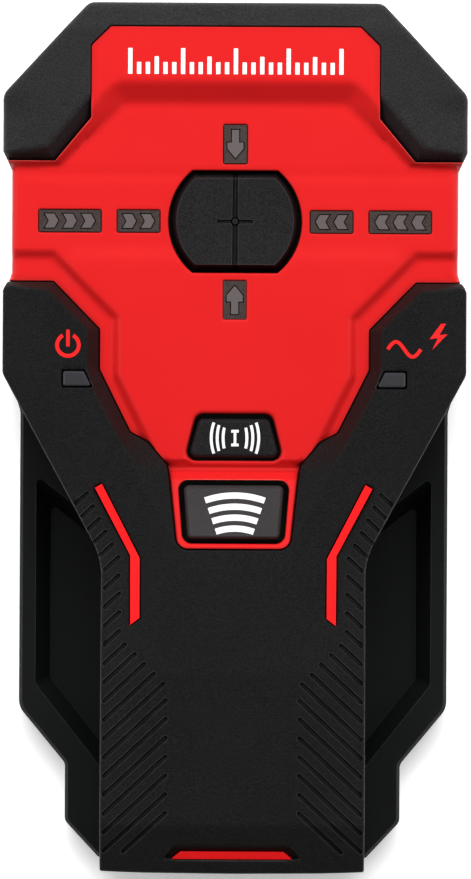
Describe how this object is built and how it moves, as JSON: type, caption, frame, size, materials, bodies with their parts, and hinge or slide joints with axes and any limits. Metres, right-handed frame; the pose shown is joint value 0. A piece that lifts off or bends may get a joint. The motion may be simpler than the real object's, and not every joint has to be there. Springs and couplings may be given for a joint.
{
  "type": "stud finder",
  "caption": "Handheld stud finder with a bumpered flat head, thumb buttons, arrow light windows, a press-to-mark centre pin, finger troughs beside the grip and a hinged battery door.",
  "frame": {"origin": "middle of the object's box in plan, on the plane that the glide pads rest on", "axes": "+Z out of the face that the user looks at, +Y towards the head's front edge, +X to the user's right"},
  "size_m": [0.09, 0.1684, 0.035],
  "materials": {
    "red_plastic": "moulded red plastic, fine satin texture",
    "base_plastic": "moulded black plastic, satin",
    "soft_bumper": "soft over-moulded rubber, finely grained matte charcoal",
    "soft_grip": "soft over-moulded rubber, finely grained matte black",
    "red_inlay": "moulded red inlay, satin",
    "smoke_lens": "smoked translucent plastic",
    "button_black": "finely textured black plastic",
    "button_grey": "satin dark grey plastic with printed white arcs",
    "window_plastic": "grained brown-grey plastic",
    "arrow_plastic": "frosted translucent grey plastic",
    "steel": "bright zinc-plated steel",
    "white_nylon": "natural nylon",
    "circuit_board": "green solder mask",
    "copper": "tinned copper",
    "component_black": "moulded epoxy",
    "led_body": "white LED body",
    "battery_case": "printed metal battery jacket, plain",
    "lead_red": "silicone insulation",
    "lead_black": "silicone insulation",
    "foam": "closed-cell foam",
    "felt": "dense felt",
    "label": "blank satin polyester label"
  },
  "bodies": {
    "housing": {"alert_lens": "smoke_lens", "back_bezel": "window_plastic", "back_light_guide": "arrow_plastic", "battery": "battery_case", "battery_snap": "component_black", "battery_terminals": "battery_case", "board_header": "component_black", "board_parts": "component_black", "board_screws": "steel", "buzzer": "component_black", "end_accent_bar": "red_inlay", "front_bezel": "window_plastic", "front_light_guide": "arrow_plastic", "front_shell": "red_plastic", "glide_pads": "felt", "grip_skin": "soft_grip", "housing_screws": "steel", "indicator_leds": "led_body", "left_accent_strip": "red_inlay", "left_inner_bezel": "window_plastic", "left_inner_light_guide": "arrow_plastic", "left_outer_bezel": "window_plastic", "left_outer_light_guide": "arrow_plastic", "main_board": "circuit_board", "marker_guide": "white_nylon", "marker_spring": "steel", "metal_coil": "copper", "microcontroller": "component_black", "mode_switch": "component_black", "negative_lead": "lead_black", "positive_lead": "lead_red", "power_lens": "smoke_lens", "rear_label": "label", "rear_shell": "base_plastic", "right_accent_strip": "red_inlay", "right_inner_bezel": "window_plastic", "right_inner_light_guide": "arrow_plastic", "right_outer_bezel": "window_plastic", "right_outer_light_guide": "arrow_plastic", "scan_switch": "component_black", "sensor_board": "circuit_board", "sensor_electrodes": "copper", "status_leds": "led_body", "top_bumper": "soft_bumper"},
    "marker_button": {"marker_cap": "button_black", "marker_pin": "steel", "marker_clip": "steel"},
    "mode_key": {"mode_button": "button_black", "mode_plunger": "white_nylon"},
    "scan_key": {"scan_button": "button_grey", "scan_plunger": "white_nylon"},
    "battery_hatch": {"battery_door": "base_plastic", "battery_pad": "foam"}
  },
  "joints": [
    {"name": "marker_press", "type": "slide", "parent": "housing", "child": "marker_button", "axis": [0, 0, -1], "range_m": [0, 0.003], "stiffness_N_per_m": 300, "springref_m": -0.003, "deforming": ["marker_spring"]},
    {"name": "mode_press", "type": "slide", "parent": "housing", "child": "mode_key", "axis": [0, 0, -1], "range_m": [0, 0.0008], "stiffness_N_per_m": 1500, "springref_m": -0.0005},
    {"name": "scan_press", "type": "slide", "parent": "housing", "child": "scan_key", "axis": [0, 0, -1], "range_m": [0, 0.0008], "stiffness_N_per_m": 1500, "springref_m": -0.0005},
    {"name": "battery_door_hinge", "type": "hinge", "parent": "housing", "child": "battery_hatch", "pos_m": [0, -0.02797, 0.0019], "axis": [1, 0, 0], "range_deg": [0, 85]}
  ]
}
